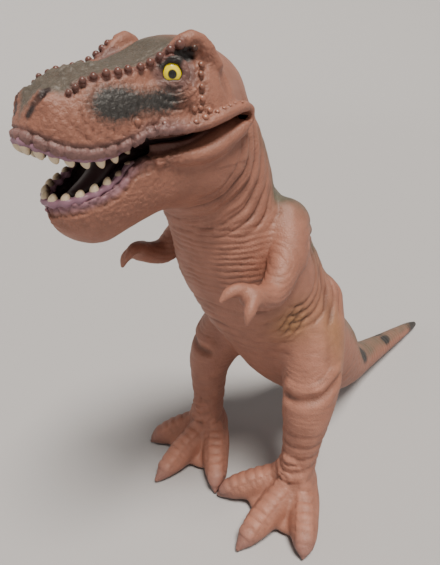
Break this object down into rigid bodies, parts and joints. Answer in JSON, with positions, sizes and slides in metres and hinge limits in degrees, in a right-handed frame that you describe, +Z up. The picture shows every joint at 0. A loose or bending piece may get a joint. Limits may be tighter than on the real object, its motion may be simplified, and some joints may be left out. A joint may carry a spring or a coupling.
{
  "type": "stuffed toy dinosaur",
  "caption": "Stuffed toy tyrannosaur with a soft moulded skin, open toothed mouth, small arms and a tail that rests on the floor; neck, jaw, arms and tail flex and spring back.",
  "frame": {"origin": "centre of the bounding box on the floor that the soles rest on", "axes": "+Z up, the animal faces -Y, +X is its left side"},
  "size_m": [0.2006, 0.5369, 0.4],
  "materials": {
    "vinyl_skin": "satin, moulded wrinkles and scales, airbrushed dark patches",
    "gum_vinyl": "satin",
    "tooth_vinyl": "satin",
    "tongue_vinyl": "satin",
    "eye_gloss": "glossy",
    "fibre_stuffing": "matte",
    "plug_vinyl": "satin"
  },
  "bodies": {
    "torso": {"torso_skin": "vinyl_skin", "torso_stuffing": "fibre_stuffing", "filling_plug": "plug_vinyl", "left_leg_skin": "vinyl_skin", "left_leg_stuffing": "fibre_stuffing", "right_leg_skin": "vinyl_skin", "right_leg_stuffing": "fibre_stuffing"},
    "head": {"head_skin": "vinyl_skin", "head_stuffing": "fibre_stuffing", "upper_gum": "gum_vinyl", "upper_teeth": "tooth_vinyl", "left_eye": "eye_gloss", "right_eye": "eye_gloss"},
    "jaw": {"jaw_skin": "vinyl_skin", "jaw_stuffing": "fibre_stuffing", "lower_gum": "gum_vinyl", "lower_teeth": "tooth_vinyl", "tongue": "tongue_vinyl"},
    "left_arm": {"left_arm_skin": "vinyl_skin", "left_arm_stuffing": "fibre_stuffing"},
    "right_arm": {"right_arm_skin": "vinyl_skin", "right_arm_stuffing": "fibre_stuffing"},
    "tail": {"tail_skin": "vinyl_skin", "tail_stuffing": "fibre_stuffing"}
  },
  "joints": [
    {"name": "neck_flex", "type": "hinge", "parent": "torso", "child": "head", "pos_m": [0, -0.134, 0.302], "axis": [0, 0, 1], "range_deg": [-12, 12], "stiffness_Nm_per_rad": 6},
    {"name": "jaw_flex", "type": "hinge", "parent": "head", "child": "jaw", "pos_m": [0, -0.14, 0.345], "axis": [-1, 0, 0], "range_deg": [-3, 5], "stiffness_Nm_per_rad": 4},
    {"name": "left_shoulder_flex", "type": "hinge", "parent": "torso", "child": "left_arm", "pos_m": [0.05, -0.104, 0.265], "axis": [1, 0, 0], "range_deg": [-20, 20], "stiffness_Nm_per_rad": 1},
    {"name": "right_shoulder_flex", "type": "hinge", "parent": "torso", "child": "right_arm", "pos_m": [-0.05, -0.104, 0.265], "axis": [1, 0, 0], "range_deg": [-20, 20], "stiffness_Nm_per_rad": 1},
    {"name": "tail_flex", "type": "hinge", "parent": "torso", "child": "tail", "pos_m": [0, 0.086, 0.027], "axis": [0, 0, 1], "range_deg": [-12, 12], "stiffness_Nm_per_rad": 4}
  ]
}
